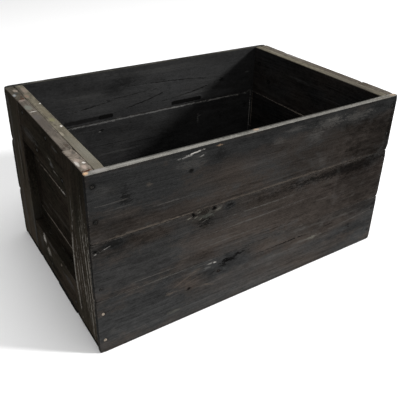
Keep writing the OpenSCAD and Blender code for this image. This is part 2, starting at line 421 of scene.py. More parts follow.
    # Lightness: the mean first, then what each kind of fibre and patch adds or takes away
    lightness = calc("MULTIPLY_ADD", fine, 0.28 * streaks, light - 0.64 * streaks - 0.56 * mottled)
    for part, weight in ((thread, 0.56 * streaks), (broad, 0.34 * streaks), (late, 0.36 * streaks),
                         (blotch, 0.45 * mottled), (grit, 0.34 * mottled), (mottle, 0.36 * mottled)):
        lightness = calc("MULTIPLY_ADD", part, weight, lightness)
    lightness = calc("MAXIMUM", lightness, 0.12)
    for spot in shades:
        shade = calc("ADD", patch(spot, cloudy, 1.35, 0.2, spot[4]), 1.0)
        lightness = calc("MULTIPLY", lightness, shade)
    # Painted floor bounce: the foot of each board is made lighter and its top darker, as painted light
    # thrown up by the pale floor
    if floor_bounce:
        bounced = spread(parts[Z], bounce_end, bounce_foot, 1.0 - 0.3 * floor_bounce, 1.0 + floor_bounce)
        lightness = calc("MULTIPLY", lightness, bounced)
    for spot in tints:
        tint = calc("ADD", tint, patch(spot, cloudy, 1.35, 0.2, spot[4]))
    tinted = mixed(spread(tint, 0.0, 1.0, 0.5 - brown, 1.5 - brown), *stain)
    colour = times(tinted, lightness)

    # Marks, which the fibres break up, then the dark rods and the hearts of the knots
    streaky = calc("MULTIPLY_ADD", grit, 0.35, calc("MULTIPLY_ADD", thread, 0.55, 0.25))
    for mark in marks:
        slope, curve = mark[6:] or (0.0, 0.0)
        share = patch(mark, ragged, amount=mark[5], slope=slope, curve=curve)
        colour = mixed(calc("MULTIPLY", share, streaky), colour, mark[4])
    for rod in rods:
        share = patch(rod, calc("MULTIPLY", ragged, 0.2), 1.15, 0.75, rod[4], rod=True)
        colour = mixed(share, colour, pit_and_shade_black)
    for core, radius in cores:
        circles = calc("PINGPONG", calc("MULTIPLY_ADD", core, radius * 0.8, fine), 1.0)
        eye = mixed(circles, pit_and_shade_black, brown_char)
        gap = calc("MULTIPLY_ADD", ragged, 0.35, core)
        colour = mixed(spread(gap, 1.15, 0.85, 0.0, 0.85), colour, eye)

    # Rubbed edges, the bare wood of the rim, and the dirt round nails and in holes
    worn = put("SeparateColor", put("Attribute", attribute_name="wear").outputs["Color"]).outputs
    colour = times(colour, spread(worn[2], 0.35, 0.95, 1.0, edges))
    uneven = calc("MULTIPLY_ADD", fine, 0.25, calc("MULTIPLY_ADD", grit, 0.25, -0.25))
    rubbed = calc("ADD", worn[0], uneven)
    colour = mixed(spread(rubbed, 0.40, 1.05, 0.0, 0.7), colour, worn_grey)
    if bare:
        rise = calc("MULTIPLY_ADD", speck, 0.8, parts[Z])
        bared = spread(rise, crate_height - 1.5, crate_height - 0.8)
        grime = calc("MULTIPLY", mottle, 0.50)
        for part, weight in ((grit, 0.40), (thread, 0.25), (late, -0.35)):
            grime = calc("MULTIPLY_ADD", part, weight, grime)
        wood = times(Vector(bare), spread(grime, 0.15, 0.95, 0.45, 1.20))
        on_top = vector("MULTIPLY_ADD", ripples, (3.0, 3.0, 0), scaled.outputs["Vector"])
        for spot in bare_spots:
            inside = from_middle(on_top, spot)
            gap = calc("MULTIPLY_ADD", grit, 0.5, calc("ADD", vector("LENGTH", inside), -0.25))
            wood = mixed(spread(gap, 1.2, 0.5, 0.0, spot[5], "SMOOTHSTEP"), wood, spot[4])
        colour = mixed(bared, colour, wood)
    dirt = calc("MULTIPLY", worn[1], spread(parts[Z], faint_dirt, strong_dirt, 0.1, 0.75))
    colour = mixed(dirt, colour, pit_and_shade_black)
    tree.links.new(colour, shader.inputs["Base Color"])

    # Dry stained wood without a shine, its fibres in slight relief
    shader.inputs["Specular IOR Level"].default_value = 0.0
    shader.inputs["Roughness"].default_value = 0.8
    height = calc("MULTIPLY", speck, 0.25)
    for part, weight in ((late, 0.4), (fine, 0.45), (thread, 0.5)):
        height = calc("MULTIPLY_ADD", part, weight, height)
    bump = put("Bump", 0.6, 0.0006)
    tree.links.new(height, bump.inputs["Height"])
    tree.links.new(bump.outputs[0], shader.inputs["Normal"])
    return finish


def fit_board(piece, node, finish):
    """Puts a finished board in its node's place"""
    piece.data.materials.append(finish)
    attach(piece, "root")
    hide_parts(node)


left_panel_heads = driven_nails("left_panel_nails", X, 1)
right_panel_heads = driven_nails("right_panel_nails", X, -1)
left_rail_heads = driven_nails("left_rail_nails", X, -1)
right_rail_heads = driven_nails("right_rail_nails", X, 1)
panel_seed = 11
panel_tones = {"left_panel_bottom": 0.72, "left_panel_middle": 0.68, "left_panel_top": 0.62,
               "right_panel_bottom": 0.55, "right_panel_middle": 0.55, "right_panel_top": 0.75}
seam_and_leak_light = (0.110, 0.094, 0.078)
panel_marks = {
    "left_panel_middle": [
        (205, 195.5, 75, 1.6, seam_and_leak_light, 1.5), (150, 195.5, 16, 2.0, chip_and_leak_white, 0.6),
        # The black patches at along 278 and along 92 are painted shade at the back and the front end of
        # the recess
        (278, 150, 12, 55, pit_and_shade_black, 0.7), (92, 116, 13, 16, pit_and_shade_black, 0.7),
        (180, 130, 70, 2.5, scuff_grey, 0.35)],
    "left_panel_bottom": [
        (195, 99.2, 85, 1.6, seam_and_leak_light, 1.5), (150, 84, 140, 12, pit_and_shade_black, 0.4),
        # The black patches at along 92 and along 265 are painted shade at the front end and in the lower
        # back corner of the recess
        (92, 92, 13, 24, pit_and_shade_black, 0.8), (265, 88, 26, 12, pit_and_shade_black, 0.9)],
    "left_panel_top": [(180, 201.8, 160, 1.2, pit_and_shade_black, 0.8)],
    "right_panel_middle": [
        # The upright pale line at along 357.5 is painted light that leaks in through the gap at the right
        # back corner
        (357.5, 150, 1.6, 48, seam_and_leak_light, 1.4), (180, 198.5, 170, 1.2, seam_and_leak_light, 1.2)],
}
panel_rim_spots = [
    (18, 332, 5.0, 34.0, (0.046, 0.041, 0.033), 0.95), (24, 60, 9.0, 62.0, (0.108, 0.099, 0.080), 0.8),
    (28, 156, 2.2, 3.0, chip_and_leak_white, 1.0), (24, 185, 4.0, 9.0, (0.13, 0.125, 0.070), 0.7),
    (30, 258, 1.6, 2.2, chip_and_leak_white, 1.0), (25, 215, 5.0, 24.0, (0.095, 0.083, 0.060), 0.7),
    (21, 300, 4.0, 9.0, (0.15, 0.105, 0.080), 0.6), (26, 60, 6.0, 30.0, (0.125, 0.120, 0.100), 0.5),
    (22, 110, 5.0, 14.0, (0.10, 0.095, 0.075), 0.5), (26, 330, 5.0, 16.0, (0.16, 0.125, 0.105), 0.6),
    (19, 130, 3.0, 8.0, (0.21, 0.19, 0.15), 0.6)]
right_rim_spots = [
    (545, 95, 9.0, 90.0, (0.082, 0.074, 0.060), 0.9), (542, 55, 6.0, 28.0, (0.055, 0.049, 0.040), 0.8),
    (548, 300, 4.0, 30.0, (0.13, 0.12, 0.10), 0.6)]
for number, (name, tone) in enumerate(panel_tones.items()):
    luck = random.Random(number)
    heads = heads_on(name, left_panel_heads + right_panel_heads, X)
    panel = board_mesh(name, Y, X, panel_seed + number, ease=0.45, heads=heads)
    low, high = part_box(name)
    height = (low.z + high.z) / 2 / MM
    scuffs = [(luck.uniform(40, 320), height + luck.uniform(-35, 35),
               luck.uniform(12, 45), luck.uniform(1, 4),
               luck.choice((scuff_grey, pit_and_shade_black)), luck.uniform(0.15, 0.4)) for scuff in range(3)]
    on_left = name.startswith("left")
    heart = (luck.uniform(-40, 40), luck.uniform(-90, -40))
    finish = stained_wood(name, Y, X, panel_seed + number, heart,
                          tilt=luck.uniform(0.02, 0.05), light=tone, edges=0.8,
                          stain=(umber_char, olive_char) if on_left else (brown_char, blue_char),
                          marks=scuffs + panel_marks.get(name, []),
                          bare=rim_olive if name.endswith("top") else None,
                          bare_spots=panel_rim_spots if on_left else right_rim_spots)
    fit_board(panel, name, finish)

# Stiles: the four uprights of the end frames, full height, nailed to the panels from inside
# and to the long sides through their faces. Their edges have warped off the panels a little,
# and their sawn tops show the end grain.

stile_lift = 1.5
stile_flat = 20.0
joint_red = (0.045, 0.018, 0.010)
stile_light = (0.150, 0.140, 0.124)
rim_lilac = (0.096, 0.084, 0.070)
rim_worn = (0.064, 0.057, 0.045)
rim_pink = (0.25, 0.20, 0.170)
rim_pale = (0.150, 0.128, 0.106)
rim_grey = (0.060, 0.055, 0.048)
stile_marks = {
    "left_stile_front": [
        (105, 10, 92, 3.2, stile_light, 2.1, 0.03, 0.0003), (70, 6.5, 60, 2.2, stile_light, 1.8),
        (130, 18, 85, 2.0, stile_light, 1.6, 0.05, 0.0),
        (140, 28.5, 80, 1.9, stile_light, 1.7, 0.085, 0.0),
        (80, 34, 50, 1.2, stile_light, 1.1, 0.06, 0.0), (100, 44, 52, 2.0, stile_light, 1.7, 0.11, 0.0),
        (185, 41, 34, 1.1, stile_light, 0.9, 0.06, 0.0),
        (128, 56, 55, 1.2, stile_light, 1.0, 0.08, 0.0),
        (110, 64, 45, 1.6, stile_light, 1.4, 0.05, 0.0),
        (112, 77, 76, 3.0, stile_light, 2.2, 0.0, -0.0015),
        (70, 72, 40, 2.0, stile_light, 1.5, 0.10, 0.0), (50, 24, 48, 3.0, stile_light, 1.5, 0.04, 0.0),
        (225, 28, 45, 1.1, stile_light, 0.7), (212, 67, 32, 1.2, stile_light, 0.9, -0.06, 0.0),
        (262, 24, 36, 8, pit_and_shade_black, 0.5), (240, 52, 50, 7, pit_and_shade_black, 0.5)],
    "left_stile_back": [
        (140, 350, 60, 3.0, scuff_grey, 1.0), (60, 340, 60, 6.0, scuff_grey, 1.3),
        (45, 293, 55, 5.0, scuff_grey, 1.2), (215, 310, 30, 4.0, scuff_grey, 0.8),
        (90, 306, 40, 3.0, scuff_grey, 0.8), (250, 345, 35, 6.0, scuff_grey, 0.9),
        (278, 350, 16, 8.0, scuff_grey, 0.9), (210, 348, 22, 6.0, scuff_grey, 0.9),
        (165, 316, 52, 9.0, pit_and_shade_black, 0.6), (195, 291, 75, 5.0, pit_and_shade_black, 0.8),
        (180, 325, 45, 3.0, stile_light, 0.5)],
    "right_stile_front": [(90, 30, 70, 3.0, scuff_grey, 0.9), (200, 60, 40, 3.0, scuff_grey, 0.8)],
    "right_stile_back": [(120, 330, 80, 3.0, scuff_grey, 0.8), (210, 300, 40, 4.0, scuff_grey, 0.7)],
}
stile_rim_spots = {
    "left_stile_front": [
        (8.5, 11.0, 7.0, 1.6, joint_red, 1.0), (9, 22, 4.0, 6.0, rim_pink, 1.0),
        (4, 34, 2.5, 9.0, chip_and_leak_white, 0.65), (13, 33, 2.2, 2.6, chip_and_leak_white, 1.0),
        (7, 42, 4.0, 5.0, rim_pink, 0.7), (12, 66, 3.0, 6.0, rim_grey, 0.7),
        (6, 70, 3.5, 8.0, (0.15, 0.130, 0.11), 0.8), (14, 48, 2.0, 4.0, rim_grey, 0.8),
        (9, 78.5, 6.0, 0.9, pit_and_shade_black, 0.8)],
    "left_stile_back": [
        (5, 313, 3.2, 6.0, (0.16, 0.165, 0.165), 1.0), (10, 322, 4.0, 4.0, (0.035, 0.038, 0.036), 0.9),
        (12, 334, 3.5, 8.0, (0.19, 0.160, 0.135), 0.8), (5, 350, 3.0, 8.0, (0.05, 0.047, 0.040), 0.8),
        (11, 292.5, 5.0, 2.2, joint_red, 1.0), (13, 302, 2.5, 6.0, (0.045, 0.030, 0.022), 0.9)],
    "right_stile_front": [
        (566, 30, 4.0, 14.0, rim_grey, 0.7), (561, 66, 8.0, 18.0, (0.050, 0.042, 0.033), 0.9)],
    "right_stile_back": [(562, 330, 4.0, 9.0, rim_grey, 0.8)],
}
stile_seed = 31
stile_hearts = ((-25, -45), (10, -45), (-30, -45), (20, -45))
stile_tones = (0.92, 1.30, 0.9, 1.0)
stile_rims = (rim_pale, rim_worn, rim_lilac, rim_lilac)
for number, (name, marks) in enumerate(stile_marks.items()):
    low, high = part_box(name)
    outwards = -1 if name.startswith("left") else 1
    flat_edge = low.y
    blank_low, blank_high = low.copy(), high.copy()
    if outwards < 0:
        blank_low.x += stile_lift * MM
    else:
        blank_high.x -= stile_lift * MM

    def warp_off(point):
        """Lifts a point off the panel, more towards the edge that has warped away"""
        past_flat = max(0.0, (point.y - flat_edge) / MM - stile_flat)
        lifted = past_flat / ((high.y - low.y) / MM - stile_flat)
        point.x += outwards * stile_lift * lifted ** 2 * MM

    stile = board_mesh(name, Z, X, stile_seed + number, bend=warp_off, box=(blank_low, blank_high))
    finish = stained_wood(name, Z, X, stile_seed + number, stile_hearts[number], tilt=0.035,
                          light=stile_tones[number], marks=marks, floor_bounce=0.9, edges=0.6,
                          bare=stile_rims[number], bare_spots=stile_rim_spots[name],
                          stain=(umber_char, olive_char))
    fit_board(stile, name, finish)

# Rails: the cross boards of the end frames, one at the rim and one at the base, a little
# thinner than the stiles. They are nailed to the panels in a zigzag, and the recess
# between them is the finger hold.

rail_marks = {
    "left_rail_top": [
        (142, 249, 9, 4, scuff_grey, 1.4), (128, 243, 14, 1.6, stile_light, 0.9),
        (150, 256, 8, 2.0, stile_light, 0.8), (120, 284, 12, 3, scuff_grey, 0.9),
        (245, 256, 40, 9, scuff_grey, 0.7), (190, 285, 50, 5, pit_and_shade_black, 0.6),
        (150, 272, 40, 6, pit_and_shade_black, 0.6)],
    "left_rail_bottom": [
        (238, 60, 9, 9, chip_and_leak_white, 1.2), (221, 44, 10, 9, stile_light, 2.6),
        (120, 48, 26, 7, scuff_grey, 0.9), (200, 66, 22, 3, scuff_grey, 0.8),
        (260, 40, 12, 14, scuff_grey, 0.6), (190, 24, 70, 8, pit_and_shade_black, 0.8)],
    "right_rail_top": [(150, 260, 30, 5, scuff_grey, 0.8)],
    "right_rail_bottom": [(220, 40, 30, 5, scuff_grey, 0.8)],
}
rail_rim_spots = {
    "left_rail_top": [
        (10, 230, 6.0, 1.5, chip_and_leak_white, 0.8), (8, 250, 6.0, 12.0, (0.105, 0.108, 0.092), 0.9),
        (9, 288, 7.0, 8.0, (0.16, 0.125, 0.11), 0.8), (9, 180, 8.0, 46.0, (0.062, 0.054, 0.047), 0.9),
        (13, 165, 3.0, 8.0, rim_grey, 0.6), (8, 205, 6.0, 12.0, (0.072, 0.066, 0.062), 0.7),
        (5, 115, 4.0, 16.0, (0.105, 0.092, 0.078), 0.7), (12, 92, 3.5, 5.0, (0.050, 0.040, 0.032), 0.9),
        (6, 84, 3.0, 3.0, (0.045, 0.036, 0.030), 0.8)],
    "right_rail_top": [
        (561, 140, 8.0, 70.0, (0.058, 0.050, 0.041), 0.9),
        (564, 270, 4.0, 30.0, (0.16, 0.15, 0.14), 0.6)],
}
rail_seed = 41
rail_hearts = ((25, -60), (-20, -60), (15, -60), (-30, -60))
rail_tones = (0.74, 1.02, 0.9, 1.0)
for number, (name, marks) in enumerate(rail_marks.items()):
    heads = heads_on(name, left_rail_heads + right_rail_heads, X)
    rail = board_mesh(name, Y, X, rail_seed + number, ease=0.6, heads=heads)
    finish = stained_wood(name, Y, X, rail_seed + number, rail_hearts[number], tilt=0.04,
                          light=rail_tones[number], marks=marks, floor_bounce=0.3, edges=0.6,
                          bare=rim_lilac if name.endswith("top") else None,
                          bare_spots=rail_rim_spots.get(name, []), stain=(umber_char, olive_char))
    fit_board(rail, name, finish)

# Front side: three thin boards, the only ones seen in full. Each is nailed at both ends
# through its face into the stiles. Knots were cut through by the saw at the joints, and
# the stain is scuffed along the edges.

front_heads = driven_nails("front_nails", Y, -1)
raw_tan = (0.40, 0.27, 0.17)
light_line = (0.056, 0.053, 0.049)
beige_chip = (0.085, 0.082, 0.068)
pale_chip = (0.16, 0.155, 0.145)
cathedral_brown = (0.060, 0.050, 0.041)
front_marks = {
    "front_board_bottom": [
        (226, 84, 15, 5.5, pit_and_shade_black, 1.7), (247, 89, 15, 2.8, pit_and_shade_black, 1.4),
        (216, 77, 8, 6, pit_and_shade_black, 1.0), (200, 72, 9, 1.6, pit_and_shade_black, 0.9, 0.35, 0.0),
        (209, 68, 5, 1.6, pit_and_shade_black, 0.9), (204, 74, 5, 4, light_line, 0.22),
        (190, 90, 6, 1.4, pale_chip, 0.95), (199, 89, 4.0, 1.7, chip_and_leak_white, 0.8),
        (184, 84, 7, 3.4, scuff_grey, 0.9), (250, 57, 9, 5, light_line, 0.5),
        (275, 55, 8, 4, light_line, 0.44), (312, 40, 8, 5, light_line, 0.5),
        (345, 73, 60, 1.6, pit_and_shade_black, 1.2), (446, 75, 18, 2.2, pit_and_shade_black, 1.1),
        (402, 61, 34, 3.6, light_line, 0.94), (408, 61, 14, 4.0, beige_chip, 0.91),
        (500, 67.5, 66, 1.8, light_line, 0.88, 0.075, 0.0), (318, 54, 18, 3.0, light_line, 0.5),
        (440, 52, 14, 3.0, light_line, 0.5), (376, 88, 18, 4.0, light_line, 0.66),
        (429, 80, 5, 6, light_line, 0.55), (480, 84, 40, 4, light_line, 0.5),
        (415, 87, 22, 3, light_line, 0.44), (500, 54, 8, 5, pit_and_shade_black, 0.9),
        (440, 41, 7, 5, light_line, 0.44), (125, 24, 13, 4, beige_chip, 0.49),
        (92, 20, 7, 4, light_line, 0.44), (22, 35, 7, 6, light_line, 0.39),
        (110, 97, 45, 1.6, light_line, 0.88), (180, 93, 14, 1.5, light_line, 0.66),
        (146, 79.5, 35, 1.6, cathedral_brown, 0.70, 0.41, -0.0036),
        (156, 56.5, 44, 1.4, cathedral_brown, 0.55, -0.2, -0.0008),
        (117, 61, 7, 4, cathedral_brown, 0.72), (155, 70, 24, 1.3, cathedral_brown, 0.6, 0.25, 0.0),
        (186, 51, 14, 1.6, cathedral_brown, 0.96, -0.4, 0.0), (151, 57, 5, 2.4, pit_and_shade_black, 1.6),
        (165, 86, 20, 6, cathedral_brown, 0.36, 0.2, 0.0)],
    "front_board_middle": [
        (440, 182, 125, 9, pit_and_shade_black, 1.0), (330, 181, 60, 8, pit_and_shade_black, 0.35),
        (180, 177, 17, 13, pit_and_shade_black, 1.1), (180, 184, 20, 8, (0.040, 0.042, 0.036), 1.0),
        (170, 189, 14, 5, pit_and_shade_black, 0.8), (158, 191, 5, 4.4, pit_and_shade_black, 2.0),
        (194, 191, 4.4, 3.2, pit_and_shade_black, 1.8), (222, 188, 10, 5.5, pit_and_shade_black, 1.2),
        (151, 187, 5.0, 1.5, beige_chip, 1.0, 0.3, 0.0),
        (164, 186, 4.2, 1.4, beige_chip, 1.05, 0.4, 0.0), (168, 192, 6, 1.2, beige_chip, 0.9, 0.2, 0.0),
        (171, 180, 4.0, 1.5, beige_chip, 0.9, 0.4, 0.0),
        (176, 174, 5.0, 1.4, light_line, 0.9, 0.3, 0.0),
        (181, 190, 5.0, 1.3, beige_chip, 0.95, 0.3, 0.0),
        (200, 187, 8, 1.8, beige_chip, 0.85, 0.3, 0.0), (188, 182, 5, 1.5, light_line, 0.8, 0.4, 0.0),
        (206, 191, 6, 2.0, light_line, 0.77), (34, 187, 18, 8, pit_and_shade_black, 0.6),
        (10, 180, 7.0, 1.1, pale_chip, 1.1, 0.22, 0.0), (21, 183.5, 7, 0.9, pale_chip, 1.2, 0.32, 0.0),
        (6, 183, 3.4, 2.6, pit_and_shade_black, 1.8), (290, 166.5, 66, 1.5, light_line, 0.88),
        (265, 147.4, 120, 1.3, light_line, 0.88), (350, 149, 60, 1.0, light_line, 0.55, 0.01, 0.0),
        (420, 137, 14, 1.3, light_line, 0.66), (228, 126, 66, 1.3, light_line, 0.83),
        (100, 109, 62, 1.5, light_line, 0.88), (240, 112, 60, 1.2, light_line, 0.55),
        (200, 134, 50, 1.2, light_line, 0.5), (250, 158, 60, 1.2, light_line, 0.44),
        (450, 140, 5, 40, light_line, 0.12), (450, 181, 5, 16, light_line, 0.14),
        (480, 120, 40, 1.0, light_line, 0.33), (300, 112, 60, 1.4, pit_and_shade_black, 0.7),
        (230, 118, 70, 1.3, pit_and_shade_black, 0.5)],
    "front_board_top": [
        (53, 250, 12, 11, pit_and_shade_black, 0.9), (52, 262, 6, 12, pit_and_shade_black, 0.5),
        (153, 265, 7, 3, pit_and_shade_black, 1.2, 0.2, 0.0), (146, 288, 13, 1.4, pale_chip, 1.1, 0.10, 0.0),
        (160, 291, 13, 1.3, chip_and_leak_white, 0.85, 0.12, 0.0), (172, 284, 5, 1.4, pale_chip, 0.8, 0.2, 0.0),
        (155, 276, 26, 13, light_line, 0.39), (200, 278, 17, 10, pit_and_shade_black, 0.6),
        (200, 293, 6, 1.8, raw_tan, 0.3), (36, 250.5, 28, 1.2, light_line, 0.72),
        (42, 240, 24, 1.2, light_line, 0.61), (25, 270, 20, 10, light_line, 0.22),
        (125, 226, 38, 1.3, light_line, 0.66), (384, 265, 18, 11, light_line, 0.45),
        (412, 281, 30, 11, light_line, 0.55), (422, 286, 18, 4, light_line, 0.55),
        (476, 280, 34, 9, light_line, 0.45), (310, 272, 16, 6, light_line, 0.44),
        (340, 286, 24, 4, light_line, 0.44), (505, 284, 12, 4, light_line, 0.39),
        (543, 250, 20, 14, pit_and_shade_black, 0.6), (563, 240, 6, 60, pit_and_shade_black, 0.9),
        (406, 213, 9, 9, light_line, 0.33), (80, 196.6, 90, 2.3, cathedral_brown, 1.0),
        (310, 196.8, 200, 2.3, cathedral_brown, 0.80), (88, 262, 5, 4, cathedral_brown, 0.48)],
}
front_tints = {
    "front_board_bottom": [
        (215, 76, 60, 22, 0.7), (148, 72, 36, 18, -0.8), (60, 50, 80, 44, 1.2), (400, 18, 200, 24, 0.2),
        (310, 84, 45, 16, -0.6), (480, 50, 80, 12, 0.4), (400, 66, 110, 16, -0.6),
        (540, 24, 40, 20, 1.0)],
    "front_board_middle": [
        (60, 130, 90, 34, 1.2), (142, 168, 24, 20, 0.7), (90, 180, 40, 12, -0.7),
        (420, 150, 160, 50, -0.75), (35, 187, 18, 8, 0.9), (222, 188, 10, 7, 1.0),
        (250, 130, 100, 30, -0.5)],
    "front_board_top": [
        (60, 268, 110, 34, 1.3), (145, 208, 150, 12, -0.7), (215, 232, 70, 26, -0.2),
        (240, 286, 180, 14, 1.0), (420, 225, 160, 34, -0.7), (535, 286, 50, 14, 0.9),
        (530, 240, 50, 36, -0.6)],
}
front_shades = {
    "front_board_bottom": [
        (215, 78, 50, 18, -0.30), (148, 72, 34, 16, 0.20), (520, 90, 80, 16, -0.35),
        (270, 18, 160, 18, 0.42), (200, 52, 40, 14, 0.22), (370, 52, 100, 14, 0.28),
        (310, 84, 48, 16, 0.40), (280, 50, 60, 14, 0.25), (520, 40, 60, 18, -0.15),
        (400, 84, 60, 10, -0.1)],
    "front_board_middle": [
        (460, 183, 110, 12, -0.38), (540, 182, 36, 18, -0.30), (178, 178, 24, 16, -0.35),
        (240, 132, 80, 32, 0.25), (40, 185, 50, 16, -0.30), (505, 150, 80, 60, -0.35),
        (340, 114, 90, 18, 0.38), (60, 140, 60, 20, -0.1), (100, 112, 90, 14, -0.15)],
    "front_board_top": [
        (150, 276, 34, 14, 0.18), (260, 248, 170, 18, 0.28), (50, 268, 60, 30, 0.20),
        (36, 210, 40, 20, -0.30), (535, 230, 70, 46, -0.50), (410, 240, 90, 40, -0.20),
        (230, 215, 100, 20, 0.25), (290, 225, 60, 30, 0.10)],
}
front_knots = {"front_board_bottom": [(207, 69, 3.2)], "front_board_middle": [(178, 190, 6)]}
front_rim_spots = [
    (3, 5.0, 5.0, 4.5, raw_tan, 1.0), (22, 4.5, 11, 4, (0.19, 0.18, 0.17), 0.9),
    (70, 4.5, 30, 3, (0.20, 0.195, 0.18), 0.7), (160, 3.5, 40, 3, (0.17, 0.165, 0.15), 0.7),
    (330, 4.5, 60, 3, (0.10, 0.098, 0.09), 0.4), (430, 3, 130, 3.5, (0.120, 0.115, 0.105), 0.7),
    (285, 8.2, 262, 3.1, (0.030, 0.029, 0.026), 0.95), (120, 8.0, 80, 3.0, (0.050, 0.049, 0.045), 0.9),
    (430, 8.0, 110, 2.0, (0.040, 0.039, 0.035), 0.8), (266, 4.5, 6, 3, (0.30, 0.22, 0.16), 0.7),
    (540, 3.0, 28, 4.0, (0.095, 0.088, 0.076), 0.9), (560, 4.5, 7, 4.0, raw_tan, 0.35)]
front_pits = {
    "front_board_middle": [(158, 191, 3.2, 1.6), (194, 192, 2.8, 1.4)],
    "front_board_top": [(153, 265, 2.6, 0.7)],
    "front_board_bottom": [(151, 57, 3, 0.7)],
}
chip_deep = 3.0
chip_high = 10.0
top_low, top_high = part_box("front_board_top")


def broken_corner(point, place):
    """Breaks the wedge out of the top board's lower right corner, and says how raw a point is"""
    above = (point.z - top_low.z) / MM
    limit = chip_deep * min(1.0, max(0.0, 2 * (1 - above / chip_high)))
    limit *= 0.85 + 0.3 * noise.noise(place / 2.3)
    over = (point.x - top_high.x) / MM + limit
    if over <= 0:
        return 0.0
    point.x -= over * MM
    return 0.8


front_seed = 51
front_hearts = ((17, -38), (-18, -70), (15, -60))
front_tilts = (0.035, 0.012, 0.02)
front_tones = (1.0, 0.97, 0.98)
front_browns = (0.5, 0.6, 0.5)
front_rim = (0.155, 0.150, 0.136)
for number, (name, marks) in enumerate(front_marks.items()):
    low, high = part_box(name)
    pits = [(Vector((crate_corner.x + at_x * MM, low.y, at_z * MM)), radius, deep)
            for at_x, at_z, radius, deep in front_pits[name]]
    heads = heads_on(name, front_heads, Y)
    at_rim = name.endswith("top")
    front = board_mesh(name, X, Y, front_seed + number, ease=0.5, ends=1.6, heads=heads, pits=pits,
                       cut_back=broken_corner if at_rim else None)
    finish = stained_wood(name, X, Y, front_seed + number, front_hearts[number], tilt=front_tilts[number],
                          light=front_tones[number], brown=front_browns[number], edges=0.9, floor_bounce=0.58,
                          knots=front_knots.get(name, []), marks=marks,
                          tints=front_tints[name], shades=front_shades[name],
                          bare=front_rim if at_rim else None, bare_spots=front_rim_spots)
    fit_board(front, name, finish)

# Back side: three more thin boards, seen from inside over the front's rim. Two dark marks
# were left in the stain just above the upper joint, and the joint's worn edge is a light line.
# A pale line down the right corner and a fleck at the upper joint there are painted light that
# leaks in through the corner gap.

back_heads = driven_nails("back_nails", Y, 1)
rim_dark = (0.030, 0.029, 0.026)
back_light = (0.075, 0.074, 0.071)
back_stain = ((0.0165, 0.0163, 0.0161), (0.0152, 0.0153, 0.0154))
back_marks = {
    "back_board_bottom": [(200, 60, 60, 4, scuff_grey, 0.3), (420, 40, 40, 6, scuff_grey, 0.3)],
    "back_board_middle": [
        (170, 183, 4, 3.4, pit_and_shade_black, 1.3), (166, 180.4, 3.0, 1.1, back_light, 1.2),
        (393, 161, 2.4, 12, back_light, 0.9), (398, 168, 3, 2, back_light, 0.8),
        (300, 198.3, 240, 1.7, back_light, 2.1), (180, 198.2, 100, 1.4, back_light, 1.0),
        (450, 198.2, 80, 1.9, pale_chip, 1.5), (260, 142, 80, 1.6, pit_and_shade_black, 0.7),
        (330, 134, 60, 1.4, pit_and_shade_black, 0.6), (170, 150, 60, 1.4, pit_and_shade_black, 0.6),
        # The upright white line at x 533.6 is painted light that leaks in through the gap at the right
        # back corner
        (520, 170, 6, 6, pit_and_shade_black, 0.9), (533.6, 150, 1.2, 55, chip_and_leak_white, 0.5),
        (200, 130, 60, 3, back_light, 0.3)],
    "back_board_top": [
        (225, 275, 26, 12, pit_and_shade_black, 0.5), (150, 234, 54, 1.7, pit_and_shade_black, 1.1, 0.12, 0.0),
        (266, 226, 70, 1.7, pit_and_shade_black, 1.1, 0.22, 0.0006),
        (376, 226, 82, 1.8, pit_and_shade_black, 1.2, 0.16, 0.0008),
        (345, 257, 95, 1.5, pit_and_shade_black, 1.0, -0.08, -0.0003),
        (250, 245, 60, 1.2, pit_and_shade_black, 0.7, 0.05, 0.0), (453, 240, 7, 4, pit_and_shade_black, 1.6),
        # The white fleck at x 530 by the joint is painted light that leaks in through the gap at the
        # right back corner
        (530, 199, 6, 2.6, chip_and_leak_white, 1.4), (520, 247, 7, 2.4, back_light, 0.9),
        (300, 285, 120, 6, back_light, 0.2), (130, 256, 60, 8, back_light, 0.2),
        (380, 222, 60, 4, back_light, 0.2)],
}
back_rods = [(133, 209.5, 38, 4.4, 0.70), (181, 209.5, 16, 4.8, 0.95), (363.5, 208.5, 37, 4.6, 0.95)]
back_shades = [
    (310, 250, 110, 50, 0.45), (430, 262, 60, 30, 0.25), (430, 211, 55, 11, 0.8),
    (200, 260, 24, 14, -0.35), (150, 236, 70, 26, 0.30), (225, 276, 34, 16, -0.15)]
back_seed = 61
back_hearts = ((0, -60), (0, -75), (-60, -70))
back_tilts = (0.02, 0.03, 0.045)
back_tones = (0.85, 0.95, 1.05)
back_rim_spots = [
    (60, 363.5, 14, 2.6, (0.085, 0.08, 0.07), 0.9), (150, 363.5, 24, 2.0, (0.06, 0.057, 0.05), 0.7),
    (300, 363.5, 40, 2.0, (0.07, 0.065, 0.058), 0.7), (470, 363.5, 40, 2.4, (0.085, 0.08, 0.07), 0.8)]
for number, (name, marks) in enumerate(back_marks.items()):
    heads = heads_on(name, back_heads, Y)
    at_rim = name.endswith("top")
    back = board_mesh(name, X, Y, back_seed + number, ends=2.6, heads=heads)
    finish = stained_wood(name, X, Y, back_seed + number, back_hearts[number], tilt=back_tilts[number],
                          spacing=6.0, light=back_tones[number], streaks=0.22, mottled=1.1, edges=0.9,
                          marks=marks, stain=back_stain, shades=back_shades if at_rim else [],
                          rods=back_rods if at_rim else [],
                          bare=rim_dark if at_rim else None, bare_spots=back_rim_spots)
    fit_board(back, name, finish)

# Floor: four thin boards along the length with narrow gaps between them. They lie flat on
# the ground, and are nailed from below into the panels.

